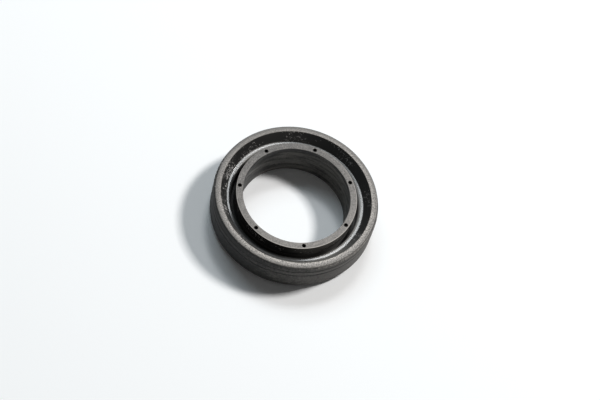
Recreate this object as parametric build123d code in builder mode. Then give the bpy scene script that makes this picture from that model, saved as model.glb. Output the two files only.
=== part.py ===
"""Radial shaft seal, 30 x 45 x 10 mm.

A rubber ring is moulded round an L-shaped steel ring.  Its outside presses into a
housing bore, and its sealing lip is held on the shaft by a garter spring that is
moulded into the head of the lip.  The axis is +Z, the back (air side) stands on
Z = 0, and the lip (oil side) looks up.  All sizes are in millimetres.
"""

import os
from math import radians, tan

from build123d import *

# ---- Main sizes --------------------------------------------------------------
shaft_diameter = 30.0
section_room = 7.5            # radial room between the shaft and the housing bore
seal_width = 10.0             # back face to rim face

# ---- Outside and rim ---------------------------------------------------------
lead_in_width = 0.25          # taper that starts the seal into its housing
lead_in_height = 1.7
lead_in_radius = 0.8          # round from the taper to the rim's edge
rim_edge_width = 0.25         # rolled outer edge of the rim
rim_edge_height = 0.5
rim_edge_radius = 0.55
rim_face_width = 1.5          # flat trimmed face of the rim
back_chamfer_width = 0.7
back_chamfer_height = 1.5
groove_count = 2              # shallow sealing grooves round the outside
groove_pitch = 1.9
groove_radius = 0.4
groove_depth = 0.22

# ---- Front hollow and channel ------------------------------------------------
cone_depth = 2.55             # rim face down to the ledge
ledge_width = 1.0
ledge_radius = 0.3            # round between the cone and the ledge
mouth_width = 0.3             # slope from the ledge into the channel
mouth_depth = 0.7
mouth_top_radius = 0.75       # wide round from the ledge to the slope
mouth_radius = 0.3            # round from the slope to the channel's wall
channel_width = 0.96          # free room round the head of the lip
channel_floor_height = 4.0
channel_floor_radius = 0.4

# ---- Sealing lip -------------------------------------------------------------
lip_preload = 0.55            # radial stretch of the lip on the shaft
lip_face_proud = 0.25         # lip face above the rim face
lip_face_set_back = 0.17      # face edge outside the contact line
lip_face_width = 1.78
contact_depth = 0.8           # lip face down to the contact land
contact_width = 0.3
air_side_angle = 25.0         # flank behind the contact land, from the axis
head_height = 2.6
head_taper_height = 0.8
waist_depth = 0.85            # bore of the flexible wall, outside the contact line
wall_thickness = 1.0          # flexible wall that carries the lip

# ---- Dust lip ----------------------------------------------------------------
dust_lip_preload = 0.5        # radial stretch of the dust lip on the shaft
dust_lip_root_height = 3.6
dust_lip_tip_height = 0.1
dust_lip_tip_width = 0.25
dust_lip_thickness = 0.9
dust_pocket_height = 1.5
dust_pocket_width = 1.1
dust_fillet = 0.6

# ---- Stiffening ring ---------------------------------------------------------
steel_thickness = 1.0
outer_cover = 0.9             # rubber over the ring, outside
back_cover = 1.0              # rubber under the ring, at the back
rim_cover = 1.1               # rubber over the ring's free edge
ring_bore_cover = 2.1         # rubber between the flexible wall's bore and the ring
ring_bend_radius = 0.7        # inside of the bend
support_mark_count = 8        # where mould pins held the ring from the back
support_mark_diameter = 1.2

# ---- Garter spring -----------------------------------------------------------
wire_diameter = 0.25
coil_diameter = 1.2
coil_clearance = 0.05         # round the coil in its moulded tunnel
spring_depth = 1.35           # lip face down to the middle of the coil
pin_hole_count = 7            # where mould pins held the spring
pin_hole_diameter = 1.14
first_pin_angle = 19.75       # first pin hole and first support mark, from +X

# ---- Radii that follow -------------------------------------------------------
shaft_r = shaft_diameter / 2
outer_r = shaft_r + section_room
rim_outer_r = outer_r - lead_in_width - rim_edge_width
rim_inner_r = rim_outer_r - rim_face_width

lip_r = shaft_r - lip_preload
face_inner_r = lip_r + lip_face_set_back
face_outer_r = face_inner_r + lip_face_width
spring_r = (face_inner_r + face_outer_r) / 2
waist_r = lip_r + waist_depth
wall_outer_r = waist_r + wall_thickness
channel_outer_r = face_outer_r + channel_width
ledge_inner_r = channel_outer_r + mouth_width
ledge_outer_r = ledge_inner_r + ledge_width

dust_lip_r = shaft_r - dust_lip_preload
pocket_r = dust_lip_r + dust_lip_thickness
back_inner_r = pocket_r + dust_pocket_width

ring_outer_r = outer_r - outer_cover
ring_inner_r = ring_outer_r - steel_thickness
ring_bore_r = waist_r + ring_bore_cover
support_circle_r = (ring_bore_r + ring_inner_r) / 2

# ---- Heights that follow -----------------------------------------------------
face_height = seal_width + lip_face_proud
lead_in_start = seal_width - lead_in_height
ledge_height = seal_width - cone_depth
mouth_bottom = ledge_height - mouth_depth
contact_top = face_height - contact_depth
contact_bottom = contact_top - contact_width
waist_top = contact_bottom - waist_depth / tan(radians(air_side_angle))
head_bottom = face_height - head_height
spring_height = face_height - spring_depth
ring_top = seal_width - rim_cover
flange_top = back_cover + steel_thickness

# ---- Sections ----------------------------------------------------------------
# Half sections, drawn on the X-Z plane to the right of the axis.  Each corner is
# (radius, height, rounding), and 0 leaves it sharp.

ring_corners = [
    (ring_bore_r, back_cover, 0),
    (ring_outer_r, back_cover, ring_bend_radius + steel_thickness),
    (ring_outer_r, ring_top, 0),
    (ring_inner_r, ring_top, 0),
    (ring_inner_r, flange_top, ring_bend_radius),
    (ring_bore_r, flange_top, 0),
]

rubber_corners = [
    # back face and outside
    (back_inner_r, 0, 0),
    (outer_r - back_chamfer_width, 0, 0),
    (outer_r, back_chamfer_height, 0),
    (outer_r, lead_in_start, 0),
    (outer_r - lead_in_width, seal_width - rim_edge_height, lead_in_radius),
    # rim face, cone, ledge and channel
    (rim_outer_r, seal_width, rim_edge_radius),
    (rim_inner_r, seal_width, 0),
    (ledge_outer_r, ledge_height, ledge_radius),
    (ledge_inner_r, ledge_height, mouth_top_radius),
    (channel_outer_r, mouth_bottom, mouth_radius),
    (channel_outer_r, channel_floor_height, channel_floor_radius),
    (wall_outer_r, channel_floor_height, channel_floor_radius),
    # head of the lip
    (wall_outer_r, head_bottom - head_taper_height, 0),
    (face_outer_r, head_bottom, 0),
    (face_outer_r, face_height, 0),
    (face_inner_r, face_height, 0),
    (lip_r, contact_top, 0),
    (lip_r, contact_bottom, 0),
    # flexible wall's bore and dust lip
    (waist_r, waist_top, dust_fillet),
    (waist_r, dust_lip_root_height, dust_fillet),
    (dust_lip_r, dust_lip_tip_height + dust_lip_tip_width, 0),
    (dust_lip_r, dust_lip_tip_height, 0),
    (pocket_r, dust_pocket_height, dust_fillet),
]


with BuildSketch(Plane.XZ) as ring_section:
    with BuildLine():
        FilletPolyline(
            [(radius, height) for radius, height, _ in ring_corners],
            radius=[rounding for _, _, rounding in ring_corners],
            close=True,
        )
    make_face()

with BuildSketch(Plane.XZ) as rubber_section:
    with BuildLine():
        FilletPolyline(
            [(radius, height) for radius, height, _ in rubber_corners],
            radius=[rounding for _, _, rounding in rubber_corners],
            close=True,
        )
    make_face()
    # room for the steel ring and for the spring's tunnel
    add(ring_section.sketch, mode=Mode.SUBTRACT)
    with Locations((spring_r, spring_height)):
        Circle(coil_diameter / 2 + coil_clearance, mode=Mode.SUBTRACT)
    # sealing grooves, the first one where the lead-in taper starts
    with Locations((outer_r + groove_radius - groove_depth, lead_in_start)):
        with Locations([(0, -groove_pitch * i) for i in range(groove_count)]):
            Circle(groove_radius, mode=Mode.SUBTRACT)

# ---- Rubber body -------------------------------------------------------------
with BuildPart() as rubber_body:
    add(rubber_section.sketch)
    revolve(axis=Axis.Z)
    # pin holes, from the lip face into the spring's tunnel
    with BuildSketch(Plane.XY.offset(face_height)):
        with PolarLocations(spring_r, pin_hole_count, start_angle=first_pin_angle):
            Circle(pin_hole_diameter / 2)
    extrude(amount=-spring_depth, mode=Mode.SUBTRACT)
    # support marks, from the back face to the steel
    with BuildSketch(Plane.XY):
        with PolarLocations(support_circle_r, support_mark_count, start_angle=first_pin_angle):
            Circle(support_mark_diameter / 2)
    extrude(amount=back_cover + steel_thickness / 2, mode=Mode.SUBTRACT)

# ---- Stiffening ring ---------------------------------------------------------
with BuildPart() as stiffening_ring:
    add(ring_section.sketch)
    revolve(axis=Axis.Z)

# ---- Garter spring -----------------------------------------------------------
# The close-wound coil is a tube of its wire's thickness, bent to a ring.
with BuildPart() as garter_spring:
    with BuildSketch(Plane.XZ):
        with Locations((spring_r, spring_height)):
            Circle(coil_diameter / 2)
            Circle(coil_diameter / 2 - wire_diameter, mode=Mode.SUBTRACT)
    revolve(axis=Axis.Z)

# ---- Files -------------------------------------------------------------------
os.makedirs("parts", exist_ok=True)

rubber_body.part.label = "rubber_body"
export_step(rubber_body.part, "parts/rubber_body.step")

stiffening_ring.part.label = "stiffening_ring"
export_step(stiffening_ring.part, "parts/stiffening_ring.step")

garter_spring.part.label = "garter_spring"
export_step(garter_spring.part, "parts/garter_spring.step")
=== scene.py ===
"""Radial shaft seal: a rubber body moulded round a steel ring, with a garter spring in its lip.

The three pieces are turned from their sections.  All lengths are in metres, +Z is the
seal's axis, and the seal stands with its back face on Z = 0.
"""

import math
from types import SimpleNamespace

import bpy
from bpy.props import FloatProperty, FloatVectorProperty, IntProperty, PointerProperty
from mathutils import Matrix, Vector


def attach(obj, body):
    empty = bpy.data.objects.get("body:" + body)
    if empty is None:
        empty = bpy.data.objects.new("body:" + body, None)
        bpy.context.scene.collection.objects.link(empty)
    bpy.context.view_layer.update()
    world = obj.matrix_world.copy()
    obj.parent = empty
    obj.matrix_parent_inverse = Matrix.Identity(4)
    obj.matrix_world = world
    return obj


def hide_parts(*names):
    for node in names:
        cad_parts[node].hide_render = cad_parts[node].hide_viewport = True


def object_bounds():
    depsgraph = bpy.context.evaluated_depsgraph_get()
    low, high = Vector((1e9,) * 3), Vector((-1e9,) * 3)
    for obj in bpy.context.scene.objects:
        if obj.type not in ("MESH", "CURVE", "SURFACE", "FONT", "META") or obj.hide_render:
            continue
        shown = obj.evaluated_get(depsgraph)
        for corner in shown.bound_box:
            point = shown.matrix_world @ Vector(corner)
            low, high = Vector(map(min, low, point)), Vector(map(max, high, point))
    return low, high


bl_info = {
    "name": "Radial Shaft Seal",
    "version": (1, 0, 0),
    "blender": (4, 5, 0),
    "location": "3D View > Sidebar > Seal",
    "description": "Builds a rubber-covered shaft seal with its steel ring and garter spring",
    "category": "Add Mesh",
}

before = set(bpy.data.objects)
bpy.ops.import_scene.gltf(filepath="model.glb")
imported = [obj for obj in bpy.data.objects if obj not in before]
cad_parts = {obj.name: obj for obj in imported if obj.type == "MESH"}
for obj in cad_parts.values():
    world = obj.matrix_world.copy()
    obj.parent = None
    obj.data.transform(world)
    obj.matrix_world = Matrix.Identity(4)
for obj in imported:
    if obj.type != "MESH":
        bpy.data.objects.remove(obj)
CAD_LOW, CAD_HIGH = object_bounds()
MM = 0.001
ROUND_FACETS = 288  # sides of a turned piece, round the axis
PIN_FACETS = 28
ARC_STEP = math.radians(9)  # longest facet of a rounded corner
STRAIGHT = math.radians(89.9)  # half the angle at a corner that is taken as none
CREASE = math.radians(32)  # edges sharper than this stay sharp


# ---- Settings -------------------------------------------------------------------


def length(name, description, millimetres):
    """A length that a user can change, with its default in millimetres."""
    return FloatProperty(
        name=name,
        description=description,
        default=millimetres * MM,
        min=0.0,
        precision=5,
        unit="LENGTH",
        subtype="DISTANCE",
    )


def angle(name, description, degrees):
    """An angle that a user can change, with its default in degrees."""
    return FloatProperty(
        name=name,
        description=description,
        default=math.radians(degrees),
        unit="ROTATION",
        subtype="ANGLE",
    )


def count(name, description, default):
    """A whole number that a user can change."""
    return IntProperty(name=name, description=description, default=default, min=1)


def tint(name, description, default):
    """A linear colour that a user can change."""
    return FloatVectorProperty(
        name=name,
        description=description,
        default=default,
        size=4,
        min=0.0,
        max=1.0,
        subtype="COLOR",
    )


class SealSizes(bpy.types.PropertyGroup):
    """Sizes of the seal's section."""

    outer_radius: length("Outer radius", "Radius of the outside wall", CAD_HIGH.x / MM)
    face_height: length("Face height", "Back face to lip face", CAD_HIGH.z / MM)
    lip_proud: length("Lip proud", "Lip face above the rim face", 0.25)
    lead_in_width: length("Lead-in width", "Taper at the top of the outside", 0.25)
    lead_in_height: length("Lead-in height", "Height of the taper", 1.7)
    lead_in_rounding: length("Lead-in rounding", "Round above the taper", 0.8)
    rim_edge_width: length("Rim edge width", "Broken outer edge of the rim", 0.25)
    rim_edge_height: length("Rim edge height", "Height of the broken edge", 0.5)
    rim_face_width: length("Rim face", "Width of the flat trimmed rim", 1.5)
    rim_rounding: length("Rim rounding", "Round at the rim's outer edge", 0.55)
    back_chamfer_width: length("Back chamfer width", "Chamfer under the outside", 0.7)
    back_chamfer_height: length("Back chamfer height", "Height of the chamfer", 1.5)
    groove_count: count("Grooves", "Sealing grooves round the outside", 2)
    groove_pitch: length("Groove pitch", "Height between two grooves", 1.9)
    groove_radius: length("Groove radius", "Radius of a groove's section", 0.4)
    groove_depth: length("Groove depth", "Depth of a groove in the wall", 0.22)
    cone_depth: length("Cone depth", "Rim face down to the ledge", 2.55)
    ledge_width: length("Ledge", "Cone to the edge of the channel", 1.0)
    ledge_rounding: length("Ledge rounding", "Round between cone and ledge", 0.3)
    mouth_width: length("Channel mouth", "Slope under the ledge, across", 0.3)
    mouth_depth: length("Mouth depth", "Slope under the ledge, down", 0.7)
    mouth_top_rounding: length("Mouth top", "Wide round from ledge to slope", 0.75)
    mouth_rounding: length("Mouth rounding", "Round under the slope", 0.3)
    channel_width: length("Channel", "Free room round the head of the lip", 0.96)
    channel_floor: length("Channel floor", "Height of the channel's floor", 4.0)
    channel_floor_radius: length("Floor radius", "Corners of the floor", 0.4)
    lip_radius: length("Lip radius", "Radius of the contact land", 14.45)
    face_set_back: length("Face set back", "Face edge outside the contact", 0.17)
    face_width: length("Lip face", "Width of the flat trimmed lip face", 1.78)
    contact_depth: length("Contact depth", "Lip face down to the contact land", 0.8)
    contact_width: length("Contact land", "Width of the contact land", 0.3)
    air_side_angle: angle("Air side", "Flank behind the contact, from the axis", 25)
    head_height: length("Head", "Height of the lip's head", 2.6)
    head_taper: length("Head taper", "Taper from the head to the wall", 0.8)
    waist_depth: length("Waist", "Flexible wall's bore outside the contact", 0.85)
    wall_thickness: length("Flexible wall", "Wall that carries the lip", 1.0)
    dust_lip_radius: length("Dust lip radius", "Free radius of the dust lip", 14.5)
    dust_root: length("Dust lip root", "Height where the dust lip starts", 3.6)
    dust_tip: length("Dust lip tip", "Height of the dust lip's tip", 0.1)
    dust_tip_width: length("Dust tip width", "Land on the dust lip's tip", 0.25)
    dust_lip_thickness: length("Dust lip thickness", "Tip to pocket", 0.9)
    dust_pocket_height: length("Dust pocket", "Depth of the pocket in the back", 1.5)
    dust_pocket_width: length("Dust pocket width", "Pocket to back face", 1.1)
    dust_fillet: length("Dust fillet", "Rounding at the dust lip", 0.6)


class InsertSizes(bpy.types.PropertyGroup):
    """Sizes of the steel ring and the spring inside the rubber."""

    thickness: length("Steel", "Thickness of the ring's sheet", 1.0)
    outer_cover: length("Outer cover", "Rubber outside the ring", 0.9)
    back_cover: length("Back cover", "Rubber under the ring", 1.0)
    rim_cover: length("Rim cover", "Rubber over the ring's free edge", 1.1)
    bore_cover: length("Bore cover", "Flexible wall's bore to the ring", 2.1)
    bend_radius: length("Bend", "Inside of the ring's bend", 0.7)
    mark_count: count("Support marks", "Marks of the pins under the ring", 8)
    mark_diameter: length("Mark diameter", "Diameter of a support mark", 1.2)
    wire: length("Wire", "Diameter of the spring's wire", 0.25)
    coil: length("Coil", "Outside diameter of the coil", 1.2)
    coil_clearance: length("Tunnel", "Room round the coil", 0.05)
    spring_depth: length("Spring depth", "Lip face to the coil's middle", 1.35)
    pin_hole_count: count("Pin holes", "Holes in the lip face", 7)
    pin_hole_diameter: length("Pin hole", "Diameter of a pin hole", 1.14)
    first_angle: angle("First hole", "First pin hole, from +X", 19.75)


class SealFinish(bpy.types.PropertyGroup):
    """Colours of the seal's materials, and the sides, from +X, where painted light and shade, the
    ledge's roughness and the cone's specks are strongest.
    """

    moulded: tint("Moulded", "Rubber as it leaves the mould", (0.033, 0.0325, 0.0312, 1))
    # darkest rubber in the outside's grain; also the colour of the painted shade in the grooves,
    # at the bottom of the outside, on the dark side of the cone and channel and on the ledge's
    # dull side
    shade: tint("Shade", "Darkest rubber, in grooves and pores", (0.014, 0.0138, 0.0132, 1))
    # pale colour in the channel, painted light that lifts its black
    channel: tint("Channel", "Dusty rubber down in the channel", (0.11, 0.106, 0.1, 1))
    # pale bands in the bore, and the colour of painted light in the bore, on the cone's near side
    # and in the channel's mouth
    bloom: tint("Bloom", "Pale haze in the bore", (0.17, 0.163, 0.15, 1))
    ground: tint("Ground", "Dusty outside of the rubber", (0.095, 0.089, 0.081, 1))
    # pale specks on the cone; the same colour serves the painted highlights in the mouth and on
    # the ledge
    speck: tint("Speck", "Specks of dust on the cone", (0.4, 0.385, 0.37, 1))
    trimmed: tint("Trimmed", "Cut faces of the rim and lip", (0.425, 0.39, 0.358, 1))
    trimmed_dark: tint("Trimmed dark", "Dark grain of cut faces", (0.09, 0.083, 0.077, 1))
    # pale colour of the painted sheen on the rim and of the painted highlight on the lip's outer
    # edge
    painted_sheen_colour: tint("Worn", "Rubbed edges and rim", (0.68, 0.63, 0.575, 1))
    # side of the painted sheen on the rim and the lip, and of the painted light on the near side
    # of the cone
    painted_sheen_side: angle("Rubbed side", "Side where the rim is rubbed paler", 290.0)
    # side of the painted light on the outside and of the painted glints on its roll
    outside_painted_light_side: angle("Ground side", "Side where the outside is dustiest", 315.0)
    # side where the ledge is rougher and where the ledge by the channel has painted shade
    dull_painted_shade_side: angle("Dull side", "Side where the ledge is dusty and dull", 236.0)
    # side where the cone has the most pale specks
    speck_side: angle("Dusty side", "Side where the cone has most specks", 172.0)
    # side of the painted shade on the cone, in the channel and in the bore
    painted_shade_side: angle("Black side", "Side where cone and channel are blackest", 160.0)
    # side of the painted highlight in the channel's mouth
    painted_mouth_highlight_side: angle("Chalky side", "Side where the channel's mouth is palest", 345.0)
    # side of the painted highlight on the ledge, and opposite
    painted_highlight_side: angle("Pale side", "Side where the ledge is palest, and opposite", 301.0)
    # side of the fainter painted highlight on the ledge, and opposite
    faint_painted_highlight_side: angle("Faded side", "Side where the ledge is a little pale, and opposite", 340.0)
    # side of the painted light in the bore and in the channel's mouth
    hazy_side: angle("Hazy side", "Side where the bore is palest", 55.0)
    steel: tint("Ring steel", "Pressed steel ring", (0.42, 0.42, 0.43, 1))
    spring: tint("Spring steel", "Oiled spring wire", (0.2, 0.19, 0.175, 1))


class StageSettings(bpy.types.PropertyGroup):
    """Camera, and the table's colour."""

    distance: length("Distance", "Camera to the point that it looks at", 401.8)
    aim_x: length("Aim right", "Point looked at, from the axis along +X", 0.95)
    aim_y: length("Aim near", "Point looked at, from the axis along -Y", 1.05)
    aim_height: length("Aim height", "Height of the point looked at", 9.46)
    turn: angle("Turn", "Camera's turn about the seal's axis", -15.1)
    tilt: angle("Tilt", "Camera's angle from straight down", 32.0)
    roll: angle("Roll", "Camera's turn about its own axis", 17.5)
    lens: FloatProperty(name="Lens", description="Focal length, in mm", default=90.0)
    table: tint("Table", "Colour of the table", (0.97, 0.975, 0.975, 1))


# ---- Node trees -----------------------------------------------------------------


class Value:
    """A socket in a node tree; Python's operators add Math nodes to it."""

    def __init__(self, maker, socket):
        self.maker = maker
        self.socket = socket

    def _math(self, operation, *terms):
        values = dict(enumerate(terms))
        return self.maker.node("ShaderNodeMath", {"operation": operation}, values)[0]

    def __add__(self, other):
        return self._math("ADD", self, other)

    def __radd__(self, other):
        return self._math("ADD", other, self)

    def __sub__(self, other):
        return self._math("SUBTRACT", self, other)

    def __rsub__(self, other):
        return self._math("SUBTRACT", other, self)

    def __mul__(self, other):
        return self._math("MULTIPLY", self, other)

    def __rmul__(self, other):
        return self._math("MULTIPLY", other, self)

    def __truediv__(self, other):
        return self._math("DIVIDE", self, other)

    def __rtruediv__(self, other):
        return self._math("DIVIDE", other, self)

    def __pow__(self, other):
        return self._math("POWER", self, other)

    def __rpow__(self, other):
        return self._math("POWER", other, self)

    def cosine(self):
        """The cosine of an angle in radians."""
        return self._math("COSINE", self)

    def sine(self):
        """The sine of an angle in radians."""
        return self._math("SINE", self)

    def clipped(self):
        """The value held between 0 and 1."""
        return self._math("MINIMUM", self._math("MAXIMUM", self, 0.0), 1.0)

    def above(self, level, softness):
        """0 below the level and 1 above it, with an edge as wide as softness."""
        return ((self - level) / softness + 0.5).clipped()


class Made:
    """A node that was added; made["Name"] or made[0] is one of its outputs."""

    def __init__(self, maker, node):
        self.maker = maker
        self.node = node

    def __getitem__(self, key):
        return Value(self.maker, pick_socket(self.node.outputs, key))


def pick_socket(sockets, key):
    """The socket in use that has this name, or stands at this place."""
    if isinstance(key, int):
        return sockets[key]
    for socket in sockets:
        if socket.name == key and socket.enabled:
            return socket
    raise KeyError(f"no socket {key} among {[s.name for s in sockets]}")


class Maker:
    """Adds nodes to a tree."""

    def __init__(self, tree):
        self.tree = tree

    def node(self, kind, settings=None, values=None):
        """Add a node: first its settings, then the values or links of its sockets."""
        node = self.tree.nodes.new(kind)
        for name, setting in (settings or {}).items():
            setattr(node, name, setting)
        for key, value in (values or {}).items():
            socket = pick_socket(node.inputs, key)
            if isinstance(value, Value):
                self.tree.links.new(value.socket, socket)
            else:
                socket.default_value = value
        return Made(self, node)

    def vector(self, x, y, z):
        """A vector from three values."""
        return self.node("ShaderNodeCombineXYZ", {}, {"X": x, "Y": y, "Z": z})["Vector"]

    def blend(self, factor, first, second):
        """A colour between two colours."""
        values = {"Factor": factor, "A": first, "B": second}
        return self.node("ShaderNodeMix", {"data_type": "RGBA"}, values)["Result"]

    def noise(self, place, scale, detail=2.0, roughness=0.5):
        """Noise between 0 and 1 at a place."""
        values = {"Vector": place, "Scale": scale, "Detail": detail, "Roughness": roughness}
        return self.node("ShaderNodeTexNoise", {}, values)["Fac"]


# ---- Materials ------------------------------------------------------------------


def new_material(name):
    """An empty material and the maker for its nodes."""
    material = bpy.data.materials.new(name)
    material.use_nodes = True
    material.node_tree.nodes.clear()
    return material, Maker(material.node_tree)


def output(maker, shader):
    """Put the shader out."""
    maker.node("ShaderNodeOutputMaterial", {}, {"Surface": shader})


def seal_places(maker):
    """Places on a turned piece, in millimetres: radius, height, and round the axis."""
    place = maker.node("ShaderNodeTexCoord")["Object"]
    part = maker.node("ShaderNodeSeparateXYZ", {}, {"Vector": place})
    x, y, z = part["X"] / MM, part["Y"] / MM, part["Z"] / MM
    radius = (x * x + y * y) ** 0.5
    return SimpleNamespace(
        radius=radius,
        height=z,
        cosine=x / radius,
        sine=y / radius,
        spot=maker.vector(x, y, z),
    )


def around(maker, at, turns, across):
    """A place for noise: turns sets how fast it changes round the axis, across how fast
    it changes along the section."""
    return maker.vector(
        at.cosine * turns,
        at.sine * turns,
        (at.radius + at.height * 0.7) * across,
    )


def facing(at, side):
    """1 on one side of the axis, falling evenly to 0 on the other."""
    return 0.5 + 0.5 * (at.cosine * math.cos(side) + at.sine * math.sin(side))


def both_sides(at, side):
    """1 on one side of the axis and on the opposite one, falling to 0 between them."""
    return (facing(at, side) * 2 - 1) ** 2


def darkened(colour, share):
    """The colour at a share of its lightness."""
    return [part * share for part in colour[:3]] + [1.0]


def rubber_zones(at, sizes):
    """Masks of the rubber's surfaces: 1 on the surface and 0 elsewhere.

    Levels and softness are millimetres of radius or height.
    """
    radius, height = at.radius, at.height
    section = section_places(sizes)
    rim_top, face_top = section.rim_top / MM, sizes.face_height / MM
    outer, rim_inner = sizes.outer_radius / MM, section.rim_inner / MM
    face_inner, face_outer = section.face_inner / MM, section.face_outer / MM
    ledge_height, groove_top = section.ledge_height / MM, section.groove_top / MM
    body = radius.above(face_outer + 0.5, 0.1)
    rim = height.above(rim_top - 0.07, 0.1) * body
    lip = height.above(face_top - 0.03, 0.03) * (1 - body)
    wall = radius.above(outer - 0.42, 0.06)
    bore = 1 - radius.above(face_inner + 0.9, 0.06)
    hollow = (1 - wall) * (1 - bore)
    slope = height.above(ledge_height - 1.2, 0.6) * (1 - height.above(ledge_height - 0.04, 0.08))
    ledge = height.above(ledge_height - 0.06, 0.05) * (1 - height.above(ledge_height + 0.14, 0.1))
    brink = 1 - radius.above(section.ledge_inner / MM + 0.66, 0.3)
    return SimpleNamespace(
        rim=rim,  # trimmed face of the rim
        lip=lip,  # trimmed face of the lip
        cut=(rim + lip).clipped(),
        rim_outside=rim * radius.above(rim_inner + 0.72, 0.7),
        lip_edge=lip * radius.above(face_outer - 0.16, 0.1),
        wall=wall,  # the whole outside, with its lead-in
        # painted shade: the outside darker towards the bottom
        painted_shade_foot=wall * (1 - height.above(2.6, 2.4)),
        groove=wall * (1 - radius.above(outer - 0.1, 0.08)) * (1 - height.above(groove_top, 0.1)),
        roll=wall * height.above(groove_top + 0.7, 0.5),  # top of the outside, under the rim
        bore=bore,  # the lip's bore, down to the dust lip
        # painted shade on the slope under the contact land
        flank=bore * height.above(section.waist_top / MM + 0.9, 0.8),
        cone=hollow * height.above(ledge_height + 0.3, 0.2),
        ledge=hollow * ledge,
        brink=hollow * brink * height.above(ledge_height - 0.7, 0.3),  # ledge by the channel
        mouth=hollow * slope * radius.above(section.channel_outer / MM - 0.1, 0.1),
        channel=hollow * (1 - height.above(ledge_height - 0.7, 0.3)),
    )


def cut_colour(maker, at, zone, finish, streak):
    """Trimmed faces: grainy grey, with painted sheen that makes them palest on one side of the
    rim, and a painted highlight on the lip's outer edge.
    """
    painted_sheen = facing(at, finish.painted_sheen_side)
    fine = maker.noise(at.spot, 3.0, 2.0, 0.7)
    scuff = maker.noise(around(maker, at, 40.0, 0.9), 1.0, 3.0, 0.6)
    # painted sheen: towards one side the rim's grain glints more and the rim and the lip are
    # lighter
    rough = 1.2 + zone.rim * (0.6 + painted_sheen * 2.6)
    tone = (fine - 0.5) * rough + streak * 0.8 + scuff * 0.5 + painted_sheen * 0.13 - 0.24
    tone = tone - zone.lip * (0.3 - painted_sheen * 0.15)
    # painted sheen: the rim turns towards the pale sheen colour on that side
    pale = maker.blend(zone.rim * painted_sheen * 0.85, finish.trimmed[:], finish.painted_sheen_colour[:])
    colour = maker.blend(tone.clipped(), finish.trimmed_dark[:], pale)
    colour = maker.blend(zone.rim_outside * 0.58, colour, finish.trimmed_dark[:])
    # painted highlight along the lip's outer edge on the sheen side
    return maker.blend(zone.lip_edge * painted_sheen * 0.6, colour, finish.painted_sheen_colour[:])


def outside_colour(maker, at, zone, finish, grain, streak):
    """The ground outside: grainy, with painted light and painted glints on one side, painted
    shade in the grooves, and darker towards the bottom as painted shade.
    """
    # painted light: the outside lighter towards one side
    painted = facing(at, finish.outside_painted_light_side) ** 3
    dust = (grain - 0.5) * 3.0 + (streak - 0.5) * 2.2 + painted * 1.5 - 0.35
    # painted shade: darker towards the bottom of the outside
    dust = dust - zone.painted_shade_foot * 0.35
    colour = maker.blend(dust.clipped(), finish.shade[:], finish.ground[:])
    # painted shade: the grooves darkened
    colour = maker.blend(zone.groove * 0.8, colour, finish.shade[:])
    # painted glints: pale grains on the roll on the painted-light side
    painted_glints = (grain * 2.0 + zone.roll * painted * 1.4 - 2.1).clipped()
    return maker.blend(painted_glints, colour, finish.trimmed[:])


def inside_colour(maker, at, zone, finish, grain):
    """Moulded surfaces: black, pale in bands in the bore, with painted light and shade in the
    bore, the hollow and the channel, and painted highlights on the ledge.

    Gives the colour, and the mask of the specks on the cone.
    """
    band = maker.noise(around(maker, at, 1.6, 1.2), 1.0, 2.0, 0.5)
    # painted light: the bore paler towards one side
    hazy = facing(at, finish.hazy_side) * 0.7 - 0.05
    haze = ((band - 0.5) * 3.4 + (grain - 0.5) * 1.5 + hazy) * zone.bore
    # painted shade: cone, channel and bore darker on one side
    black = facing(at, finish.painted_shade_side).above(0.9, 0.2)
    # painted shade: the slope under the contact land, and the bore on the dark side, darkened
    haze = (haze - zone.flank * 0.5 - black * 0.3).clipped()
    colour = maker.blend(haze, finish.moulded[:], finish.bloom[:])
    # painted shade: the cone darkened on the dark side
    colour = maker.blend(zone.cone * black * 0.95, colour, finish.shade[:])
    # channel colour: pale as painted light down in the channel, darkened as painted shade on the
    # dark side
    deep = maker.blend(black, finish.channel[:], finish.shade[:])
    colour = maker.blend(zone.channel, colour, deep)
    # painted light: the cone paler on the sheen side, and the channel's mouth paler towards one
    # side
    painted = zone.cone * facing(at, finish.painted_sheen_side).above(0.93, 0.14) * 0.7
    painted = painted + zone.mouth * facing(at, finish.hazy_side).above(0.4, 0.3)
    colour = maker.blend(painted, colour, finish.bloom[:])
    # painted highlight: a soft pale band in the channel's mouth on one side
    painted_mouth_highlight = zone.mouth * facing(at, finish.painted_mouth_highlight_side).above(0.87, 0.2)
    colour = maker.blend(painted_mouth_highlight * 0.8, colour, finish.speck[:])
    # painted shade: the ledge by the channel darkened on the dull side
    dull = zone.brink * facing(at, finish.dull_painted_shade_side).above(0.92, 0.08)
    colour = maker.blend(dull * 0.95, colour, finish.shade[:])
    # painted highlight: the ledge paler on two opposite sides, and a little paler on two others
    pale = both_sides(at, finish.painted_highlight_side).above(0.93, 0.14) * 0.72
    pale = pale + both_sides(at, finish.faint_painted_highlight_side).above(0.8, 0.3) * 0.2
    colour = maker.blend(zone.ledge * pale, colour, finish.speck[:])
    patch = maker.noise(at.spot, 0.16, 2.0, 0.5).above(0.52, 0.1)
    level = 0.715 - patch * 0.1 - facing(at, finish.speck_side).above(0.93, 0.14) * 0.07
    speck = maker.noise(at.spot, 2.0, 2.0, 0.7).above(level, 0.04) * zone.cone
    return maker.blend(speck, colour, finish.speck[:]), speck


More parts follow.
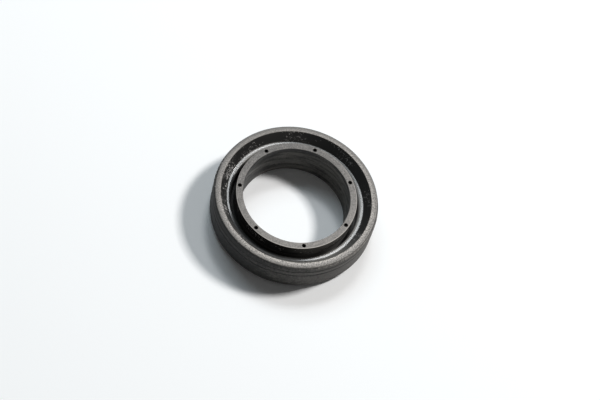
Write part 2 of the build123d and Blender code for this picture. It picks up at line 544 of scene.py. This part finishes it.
def rubber_material(sizes, finish):
    """Black moulded rubber, pale and grainy where the rim and the lip were trimmed."""
    material, maker = new_material("seal_rubber")
    at = seal_places(maker)
    zone = rubber_zones(at, sizes)
    grain = maker.noise(at.spot, 1.7, 3.0, 0.7)
    streak = maker.noise(around(maker, at, 6.0, 4.0), 1.0, 4.0, 0.6)

    inside, speck = inside_colour(maker, at, zone, finish, grain)
    outside = outside_colour(maker, at, zone, finish, grain, streak)
    colour = maker.blend(zone.wall, inside, outside)
    colour = maker.blend(zone.cut, colour, cut_colour(maker, at, zone, finish, streak))

    toward = facing(at, finish.dull_painted_shade_side)
    dull = both_sides(at, finish.dull_painted_shade_side).above(0.72, 0.36) * (0.12 + toward * 0.22)
    smooth = 0.22 + dull + zone.channel * 0.5 + zone.bore * 0.28
    smooth = smooth + zone.cone * 0.12 + speck * 0.3
    smooth = smooth + zone.brink * toward.above(0.92, 0.08) * 0.45
    rough = smooth * (1 - zone.wall) + (0.6 + streak * 0.2) * zone.wall
    rough = rough * (1 - zone.cut) + (0.42 + grain * 0.25) * zone.cut

    relief = grain * (zone.cut * 0.8 + zone.wall * 0.7 + zone.bore * 0.3 + 0.02)
    relief = relief + streak * (zone.cut * 0.4 + zone.wall * 0.8)
    bump = maker.node(
        "ShaderNodeBump", {}, {"Strength": 0.5, "Distance": 0.03 * MM, "Height": relief}
    )
    values = {
        "Base Color": colour,
        "Roughness": rough.clipped(),
        "IOR": 1.5,
        "Normal": bump["Normal"],
    }
    output(maker, maker.node("ShaderNodeBsdfPrincipled", {}, values)["BSDF"])
    return material


def steel_material(name, colour, dark, brush_round):
    """Drawn or pressed steel with marks that run round the axis."""
    material, maker = new_material(name)
    at = seal_places(maker)
    lines = maker.noise(around(maker, at, 5.0, brush_round), 1.0, 3.0, 0.6)
    stain = maker.noise(at.spot, 0.8, 3.0, 0.55)
    shade = maker.blend((stain * 0.8 + lines * 0.3).clipped(), dark, colour)
    bump = maker.node(
        "ShaderNodeBump", {}, {"Strength": 0.3, "Distance": 0.01 * MM, "Height": lines}
    )
    values = {
        "Base Color": shade,
        "Metallic": 1.0,
        "Roughness": 0.28 + lines * 0.2,
        "Normal": bump["Normal"],
    }
    output(maker, maker.node("ShaderNodeBsdfPrincipled", {}, values)["BSDF"])
    return material


def table_material(colour):
    """The plain pale table, with a little unevenness of tone."""
    material, maker = new_material("stage_table")
    place = maker.node("ShaderNodeTexCoord")["Object"]
    patch = maker.noise(place, 9.0, 2.0, 0.5)
    shade = maker.blend(patch, darkened(colour, 0.99), colour[:])
    values = {"Base Color": shade, "Roughness": 0.9, "Specular IOR Level": 0.1}
    output(maker, maker.node("ShaderNodeBsdfPrincipled", {}, values)["BSDF"])
    return material


# ---- Sections -------------------------------------------------------------------


def rounded(corners):
    """Points of a closed outline, from corners (radius, height, rounding)."""
    points = []
    for i, (radius, height, rounding) in enumerate(corners):
        here = Vector((radius, height))
        back = (Vector(corners[i - 1][:2]) - here).normalized()
        ahead = (Vector(corners[(i + 1) % len(corners)][:2]) - here).normalized()
        half = back.angle(ahead) / 2
        if rounding == 0 or half > STRAIGHT:
            points.append(here)
            continue
        centre = here + (back + ahead).normalized() * (rounding / math.sin(half))
        start = here + back * (rounding / math.tan(half)) - centre
        turn = math.copysign(math.pi - 2 * half, back.cross(ahead))
        steps = max(2, math.ceil(abs(turn) / ARC_STEP))
        for k in range(steps + 1):
            points.append(centre + Matrix.Rotation(-turn * k / steps, 2) @ start)
    return points


def circle_points(radius, height, size, steps=32):
    """Points of a round section."""
    angles = [2 * math.pi * k / steps for k in range(steps)]
    return [Vector((radius + size * math.cos(a), height + size * math.sin(a))) for a in angles]


def section_places(sizes):
    """Radii and heights in the rubber's section that follow from its sizes."""
    rim_top = sizes.face_height - sizes.lip_proud
    rim_outer = sizes.outer_radius - sizes.lead_in_width - sizes.rim_edge_width
    face_inner = sizes.lip_radius + sizes.face_set_back
    face_outer = face_inner + sizes.face_width
    channel_outer = face_outer + sizes.channel_width
    contact_top = sizes.face_height - sizes.contact_depth
    contact_bottom = contact_top - sizes.contact_width
    waist = sizes.lip_radius + sizes.waist_depth
    pocket = sizes.dust_lip_radius + sizes.dust_lip_thickness
    return SimpleNamespace(
        rim_top=rim_top,
        rim_outer=rim_outer,
        rim_inner=rim_outer - sizes.rim_face_width,
        groove_top=rim_top - sizes.lead_in_height,
        ledge_height=rim_top - sizes.cone_depth,
        ledge_inner=channel_outer + sizes.mouth_width,
        channel_outer=channel_outer,
        face_inner=face_inner,
        face_outer=face_outer,
        head_bottom=sizes.face_height - sizes.head_height,
        contact_top=contact_top,
        contact_bottom=contact_bottom,
        waist=waist,
        waist_top=contact_bottom - sizes.waist_depth / math.tan(sizes.air_side_angle),
        wall_outer=waist + sizes.wall_thickness,
        pocket=pocket,
        back_inner=pocket + sizes.dust_pocket_width,
    )


def ring_corners(sizes, insert):
    """Corners of the steel ring's section."""
    section = section_places(sizes)
    outer = sizes.outer_radius - insert.outer_cover
    inner = outer - insert.thickness
    bore = section.waist + insert.bore_cover
    top = section.rim_top - insert.rim_cover
    flange_top = insert.back_cover + insert.thickness
    edge = 0.08 * MM
    return [
        (bore, insert.back_cover, edge),
        (outer, insert.back_cover, insert.bend_radius + insert.thickness),
        (outer, top, edge),
        (inner, top, edge),
        (inner, flange_top, insert.bend_radius),
        (bore, flange_top, edge),
    ]


def groove_corners(sizes):
    """Corners of the grooves in the outside wall, from the lower one up."""
    width = math.sqrt(sizes.groove_radius**2 - (sizes.groove_radius - sizes.groove_depth) ** 2)
    edge, bottom = 0.12 * MM, 0.25 * MM
    corners = []
    for i in reversed(range(sizes.groove_count)):
        middle = section_places(sizes).groove_top - i * sizes.groove_pitch
        corners.append((sizes.outer_radius, middle - width, edge))
        corners.append((sizes.outer_radius - sizes.groove_depth, middle, bottom))
        corners.append((sizes.outer_radius, middle + width, edge))
    return corners


def rubber_corners(sizes):
    """Corners of the rubber's outline, from the back face round the outside."""
    section = section_places(sizes)
    outer, rim_top = sizes.outer_radius, section.rim_top
    lead_in = (outer - sizes.lead_in_width, rim_top - sizes.rim_edge_height)
    ledge_height, floor = section.ledge_height, sizes.channel_floor
    crisp, soft, wide = 0.05 * MM, 0.12 * MM, 1.0 * MM
    return [
        (section.back_inner, 0, soft),
        (outer - sizes.back_chamfer_width, 0, soft),
        (outer, sizes.back_chamfer_height, soft * 2),
        *groove_corners(sizes),
        (*lead_in, sizes.lead_in_rounding),
        (section.rim_outer, rim_top, sizes.rim_rounding),
        (section.rim_inner, rim_top, crisp),
        (section.ledge_inner + sizes.ledge_width, ledge_height, sizes.ledge_rounding),
        (section.ledge_inner, ledge_height, sizes.mouth_top_rounding),
        (section.channel_outer, ledge_height - sizes.mouth_depth, sizes.mouth_rounding),
        (section.channel_outer, floor, sizes.channel_floor_radius),
        (section.wall_outer, floor, sizes.channel_floor_radius),
        (section.wall_outer, section.head_bottom - sizes.head_taper, wide),
        (section.face_outer, section.head_bottom, wide),
        (section.face_outer, sizes.face_height, crisp),
        (section.face_inner, sizes.face_height, crisp),
        (sizes.lip_radius, section.contact_top, crisp),
        (sizes.lip_radius, section.contact_bottom, crisp),
        (section.waist, section.waist_top, sizes.dust_fillet),
        (section.waist, sizes.dust_root, sizes.dust_fillet),
        (sizes.dust_lip_radius, sizes.dust_tip + sizes.dust_tip_width, crisp),
        (sizes.dust_lip_radius, sizes.dust_tip, crisp),
        (section.pocket, sizes.dust_pocket_height, sizes.dust_fillet),
    ]


def spring_place(sizes, insert):
    """Radius and height of the middle of the spring's coil."""
    radius = section_places(sizes).face_inner + sizes.face_width / 2
    return radius, sizes.face_height - insert.spring_depth


# ---- Geometry trees --------------------------------------------------------------


def new_tree(name, inputs):
    """A geometry tree with named inputs, its maker, and its input values by name."""
    tree = bpy.data.node_groups.new(name, "GeometryNodeTree")
    tree.interface.new_socket("Geometry", in_out="INPUT", socket_type="NodeSocketGeometry")
    for label, kind in inputs.items():
        tree.interface.new_socket(label, in_out="INPUT", socket_type=kind)
    tree.interface.new_socket("Geometry", in_out="OUTPUT", socket_type="NodeSocketGeometry")
    maker = Maker(tree)
    return tree, maker, maker.node("NodeGroupInput")


def end_tree(maker, geometry, material):
    """Realize the geometry, give it its material and put it out."""
    real = maker.node("GeometryNodeRealizeInstances", {}, {"Geometry": geometry})["Geometry"]
    values = {"Geometry": real, "Material": material}
    done = maker.node("GeometryNodeSetMaterial", {}, values)["Geometry"]
    maker.node("NodeGroupOutput", {}, {"Geometry": done})


def turned(maker, given):
    """Sweep the section that comes in round the axis."""
    section = maker.node("GeometryNodeMeshToCurve", {}, {"Mesh": given["Geometry"]})["Curve"]
    circle = maker.node(
        "GeometryNodeCurvePrimitiveCircle",
        {},
        {"Resolution": given["Facets"], "Radius": given["Axis Distance"]},
    )["Curve"]
    values = {"Curve": circle, "Profile Curve": section}
    return maker.node("GeometryNodeCurveToMesh", {}, values)["Mesh"]


def pins(maker, given, label):
    """Evenly spaced upright pins, as the mould has them, to cut holes with."""
    circle = maker.node(
        "GeometryNodeMeshCircle",
        {},
        {"Vertices": given[f"{label} Count"], "Radius": given[f"{label} Circle"]},
    )["Mesh"]
    pin = maker.node(
        "GeometryNodeMeshCylinder",
        {},
        {
            "Vertices": PIN_FACETS,
            "Radius": given[f"{label} Radius"],
            "Depth": given[f"{label} Length"],
        },
    )["Mesh"]
    values = {"Points": circle, "Instance": pin}
    spread = maker.node("GeometryNodeInstanceOnPoints", {}, values)["Instances"]
    real = maker.node("GeometryNodeRealizeInstances", {}, {"Geometry": spread})["Geometry"]
    values = {
        "Geometry": real,
        "Translation": maker.vector(0.0, 0.0, given[f"{label} Height"]),
        "Rotation": maker.vector(0.0, 0.0, given["First Angle"]),
    }
    return maker.node("GeometryNodeTransform", {}, values)["Geometry"]


PIN_INPUTS = ("Circle", "Radius", "Length", "Height")


def turned_tree(pin_sets):
    """A tree that turns a section and cuts the named sets of pin holes in it."""
    inputs = {
        "Facets": "NodeSocketInt",
        "Axis Distance": "NodeSocketFloat",
        "First Angle": "NodeSocketFloat",
        "Material": "NodeSocketMaterial",
    }
    for label in pin_sets:
        inputs[f"{label} Count"] = "NodeSocketInt"
        for part in PIN_INPUTS:
            inputs[f"{label} {part}"] = "NodeSocketFloat"
    tree, maker, given = new_tree("Turned piece", inputs)
    shape = turned(maker, given)
    for label in pin_sets:
        shape = maker.node(
            "GeometryNodeMeshBoolean",
            {"operation": "DIFFERENCE", "solver": "EXACT"},
            {"Mesh 1": shape, "Mesh 2": pins(maker, given, label)},
        )["Mesh"]
    end_tree(maker, shape, given["Material"])
    return tree


def coil_tree():
    """A tree that winds a close coil and bends it to a ring."""
    inputs = {
        "Turns": "NodeSocketInt",
        "Points per Turn": "NodeSocketInt",
        "Ring Radius": "NodeSocketFloat",
        "Ring Height": "NodeSocketFloat",
        "Winding Radius": "NodeSocketFloat",
        "Wire Radius": "NodeSocketFloat",
        "Material": "NodeSocketMaterial",
    }
    tree, maker, given = new_tree("Garter spring", inputs)
    points = given["Turns"] * given["Points per Turn"]
    circle = maker.node("GeometryNodeCurvePrimitiveCircle", {}, {"Resolution": points})["Curve"]
    part = maker.node("GeometryNodeInputIndex")["Index"] / points
    round_ring = part * (2 * math.pi)
    round_coil = round_ring * given["Turns"]
    reach = given["Ring Radius"] + given["Winding Radius"] * round_coil.cosine()
    place = maker.vector(
        reach * round_ring.cosine(),
        reach * round_ring.sine(),
        given["Ring Height"] + given["Winding Radius"] * round_coil.sine(),
    )
    values = {"Geometry": circle, "Position": place}
    wound = maker.node("GeometryNodeSetPosition", {}, values)["Geometry"]
    wire = maker.node(
        "GeometryNodeCurvePrimitiveCircle",
        {},
        {"Resolution": 6, "Radius": given["Wire Radius"]},
    )["Curve"]
    values = {"Curve": wound, "Profile Curve": wire}
    mesh = maker.node("GeometryNodeCurveToMesh", {}, values)["Mesh"]
    end_tree(maker, mesh, given["Material"])
    return tree


def grow(name, mesh, tree, values):
    """Run a geometry tree on a mesh and return the finished piece, a plain mesh."""
    seed = bpy.data.objects.new(name + "_seed", mesh)
    bpy.context.scene.collection.objects.link(seed)
    modifier = seed.modifiers.new("Tree", "NODES")
    modifier.node_group = tree
    for item in tree.interface.items_tree:
        if item.in_out == "INPUT" and item.name in values:
            modifier[item.identifier] = values[item.name]
    bpy.context.view_layer.update()
    graph = bpy.context.evaluated_depsgraph_get()
    plain = bpy.data.meshes.new_from_object(seed.evaluated_get(graph))
    seed.modifiers.remove(modifier)
    bpy.data.objects.remove(seed)
    plain.name = name
    piece = bpy.data.objects.new(name, plain)
    bpy.context.scene.collection.objects.link(piece)
    return piece


def section_mesh(name, outline, cavities, axis_distance):
    """A section and its cavities as loose edges; the sweep takes the section's -Y as up.

    The section runs clockwise and its cavities run the other way, so faces look outward.
    """
    vertices, edges = [], []
    for loop in (outline[::-1], *cavities):
        first, size = len(vertices), len(loop)
        vertices += [(point.x - axis_distance, -point.y, 0.0) for point in loop]
        edges += [(first + k, first + (k + 1) % size) for k in range(size)]
    mesh = bpy.data.meshes.new(name)
    mesh.from_pydata(vertices, edges, [])
    return mesh


def finish_piece(piece, node, crease=CREASE):
    """Smooth the piece between its sharp edges, and put it in its CAD node's place."""
    mesh = piece.data
    mesh.shade_smooth()
    mesh.set_sharp_from_angle(angle=crease)
    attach(piece, "root")
    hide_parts(node)


# ---- Operators --------------------------------------------------------------------


class SEAL_OT_rubber_body(bpy.types.Operator):
    """Turn the rubber body and open its pin holes and support marks"""

    bl_idname = "seal.rubber_body"
    bl_label = "Rubber Body"

    def execute(self, context):
        sizes, insert = context.scene.seal_sizes, context.scene.seal_insert
        spring_radius, spring_height = spring_place(sizes, insert)
        tunnel = insert.coil / 2 + insert.coil_clearance
        ring = ring_corners(sizes, insert)
        cavities = [rounded(ring), circle_points(spring_radius, spring_height, tunnel)]
        mark_circle = (ring[0][0] + ring[4][0]) / 2
        mark_depth = insert.back_cover + insert.thickness / 2
        values = {
            "Facets": ROUND_FACETS,
            "Axis Distance": sizes.outer_radius,
            "First Angle": insert.first_angle,
            "Material": rubber_material(sizes, context.scene.seal_finish),
            "Pin Count": insert.pin_hole_count,
            "Pin Circle": spring_radius,
            "Pin Radius": insert.pin_hole_diameter / 2,
            "Pin Length": insert.spring_depth * 2,
            "Pin Height": sizes.face_height,
            "Mark Count": insert.mark_count,
            "Mark Circle": mark_circle,
            "Mark Radius": insert.mark_diameter / 2,
            "Mark Length": mark_depth * 2,
            "Mark Height": 0.0,
        }
        outline = rounded(rubber_corners(sizes))
        mesh = section_mesh("rubber_section", outline, cavities, sizes.outer_radius)
        piece = grow("rubber_body_moulding", mesh, turned_tree(["Pin", "Mark"]), values)
        finish_piece(piece, "rubber_body")
        return {"FINISHED"}


class SEAL_OT_stiffening_ring(bpy.types.Operator):
    """Turn the pressed steel ring"""

    bl_idname = "seal.stiffening_ring"
    bl_label = "Stiffening Ring"

    def execute(self, context):
        sizes, insert = context.scene.seal_sizes, context.scene.seal_insert
        steel = context.scene.seal_finish.steel
        values = {
            "Facets": ROUND_FACETS,
            "Axis Distance": sizes.outer_radius,
            "Material": steel_material("ring_steel", steel[:], darkened(steel, 0.6), 6.0),
        }
        outline = rounded(ring_corners(sizes, insert))
        mesh = section_mesh("ring_section", outline, [], sizes.outer_radius)
        piece = grow("stiffening_ring_pressing", mesh, turned_tree([]), values)
        finish_piece(piece, "stiffening_ring")
        return {"FINISHED"}


class SEAL_OT_garter_spring(bpy.types.Operator):
    """Wind the garter spring"""

    bl_idname = "seal.garter_spring"
    bl_label = "Garter Spring"

    def execute(self, context):
        sizes, insert = context.scene.seal_sizes, context.scene.seal_insert
        radius, height = spring_place(sizes, insert)
        steel = context.scene.seal_finish.spring
        pitch = insert.wire * 1.04
        values = {
            "Turns": int(2 * math.pi * radius / pitch),
            "Points per Turn": 10,
            "Ring Radius": radius,
            "Ring Height": height,
            "Winding Radius": (insert.coil - insert.wire) / 2,
            "Wire Radius": insert.wire / 2,
            "Material": steel_material("spring_wire", steel[:], darkened(steel, 0.55), 12.0),
        }
        mesh = bpy.data.meshes.new("spring_seed")
        piece = grow("garter_spring_coil", mesh, coil_tree(), values)
        finish_piece(piece, "garter_spring", crease=math.pi)
        return {"FINISHED"}


class SEAL_OT_stage(bpy.types.Operator):
    """Set out the table, the lamps and the camera"""

    bl_idname = "seal.stage"
    bl_label = "Stage"

    def execute(self, context):
        stage = context.scene.seal_stage
        lay_table(stage)
        light_world()
        for lamp in LAMPS:
            hang_lamp(*lamp)
        set_camera(context, stage)
        context.scene.view_settings.view_transform = "Standard"
        return {"FINISHED"}


# ---- Stage ----------------------------------------------------------------------

LAMP_DISTANCE = 1.2
# name, direction round the axis and above the table in degrees, width and height,
# watts, colour
LAMPS = (
    ("lamp_key", 23.0, 48.0, (0.2, 0.2), 12.0, (1.0, 0.99, 0.98)),
    ("lamp_back", 106.0, 52.0, (0.7, 0.48), 3.8, (0.78, 0.92, 1.0)),
    ("lamp_top", 80.0, 56.0, (0.26, 0.21), 2.8, (0.98, 0.99, 1.0)),
)
ROOM_LIGHT = 0.09
ROOM_COLOUR = (1.0, 1.0, 1.0, 1.0)
TABLE_HALF = 1.5


def lay_table(stage):
    """A plain square table under the seal."""
    half = TABLE_HALF
    corners = [(-half, -half, 0), (half, -half, 0), (half, half, 0), (-half, half, 0)]
    mesh = bpy.data.meshes.new("stage_table")
    mesh.from_pydata(corners, [], [(0, 1, 2, 3)])
    mesh.materials.append(table_material(stage.table))
    table = bpy.data.objects.new("stage_table", mesh)
    bpy.context.scene.collection.objects.link(table)


def light_world():
    """A weak even light from the room."""
    world = bpy.data.worlds.new("stage_world")
    world.use_nodes = True
    world.node_tree.nodes.clear()
    maker = Maker(world.node_tree)
    values = {"Color": ROOM_COLOUR, "Strength": ROOM_LIGHT}
    glow = maker.node("ShaderNodeBackground", {}, values)["Background"]
    maker.node("ShaderNodeOutputWorld", {}, {"Surface": glow})
    bpy.context.scene.world = world


def hang_lamp(name, azimuth, height, size, power, colour):
    """A rectangular lamp in a direction from the seal, pointed at it."""
    light = bpy.data.lights.new(name, "AREA")
    light.shape = "RECTANGLE"
    light.size, light.size_y = size
    light.energy = power
    light.color = colour
    lamp = bpy.data.objects.new(name, light)
    level = Matrix.Rotation(math.radians(azimuth), 3, "Z")
    raised = Matrix.Rotation(math.radians(-height), 3, "Y")
    lamp.location = level @ raised @ Vector((LAMP_DISTANCE, 0, 0))
    lamp.rotation_mode = "QUATERNION"
    lamp.rotation_quaternion = (-lamp.location).to_track_quat("-Z", "Y")
    bpy.context.scene.collection.objects.link(lamp)


def set_camera(context, stage):
    """Look down on the seal from the front, with the camera rolled on its own axis."""
    data = bpy.data.cameras.new("stage_camera")
    data.lens = stage.lens
    data.sensor_width = 36.0
    data.clip_start = 0.01
    camera = bpy.data.objects.new("stage_camera", data)
    turn = Matrix.Rotation(stage.turn, 3, "Z") @ Matrix.Rotation(stage.tilt, 3, "X")
    look = turn @ Matrix.Rotation(stage.roll, 3, "Z")
    aim = Vector((stage.aim_x, -stage.aim_y, stage.aim_height))
    camera.rotation_mode = "QUATERNION"
    camera.rotation_quaternion = look.to_quaternion()
    camera.location = aim + look @ Vector((0, 0, stage.distance))
    context.scene.collection.objects.link(camera)
    context.scene.camera = camera


# ---- Panel and registration -----------------------------------------------------

OPERATORS = (
    SEAL_OT_rubber_body,
    SEAL_OT_stiffening_ring,
    SEAL_OT_garter_spring,
    SEAL_OT_stage,
)


class SEAL_PT_panel(bpy.types.Panel):
    """Sidebar panel with the seal's operators and settings"""

    bl_idname = "SEAL_PT_panel"
    bl_label = "Shaft Seal"
    bl_space_type = "VIEW_3D"
    bl_region_type = "UI"
    bl_category = "Seal"

    def draw(self, context):
        for operator in OPERATORS:
            self.layout.operator(operator.bl_idname)
        for group in SETTINGS:
            settings = getattr(context.scene, group)
            box = self.layout.box()
            for name in settings.bl_rna.properties.keys():
                if name not in {"rna_type", "name"}:
                    box.prop(settings, name)


SETTINGS = {
    "seal_sizes": SealSizes,
    "seal_insert": InsertSizes,
    "seal_finish": SealFinish,
    "seal_stage": StageSettings,
}


def register():
    """Register the add-on's classes and give the scene its settings."""
    for cls in (*SETTINGS.values(), *OPERATORS, SEAL_PT_panel):
        bpy.utils.register_class(cls)
    for name, cls in SETTINGS.items():
        setattr(bpy.types.Scene, name, PointerProperty(type=cls))


def unregister():
    """Take away what register() added."""
    for name in SETTINGS:
        delattr(bpy.types.Scene, name)
    for cls in reversed((*SETTINGS.values(), *OPERATORS, SEAL_PT_panel)):
        bpy.utils.unregister_class(cls)


def main():
    """Build the seal and its stage."""
    register()
    bpy.ops.seal.rubber_body()
    bpy.ops.seal.stiffening_ring()
    bpy.ops.seal.garter_spring()
    bpy.ops.seal.stage()


if __name__ == "__main__":
    main()
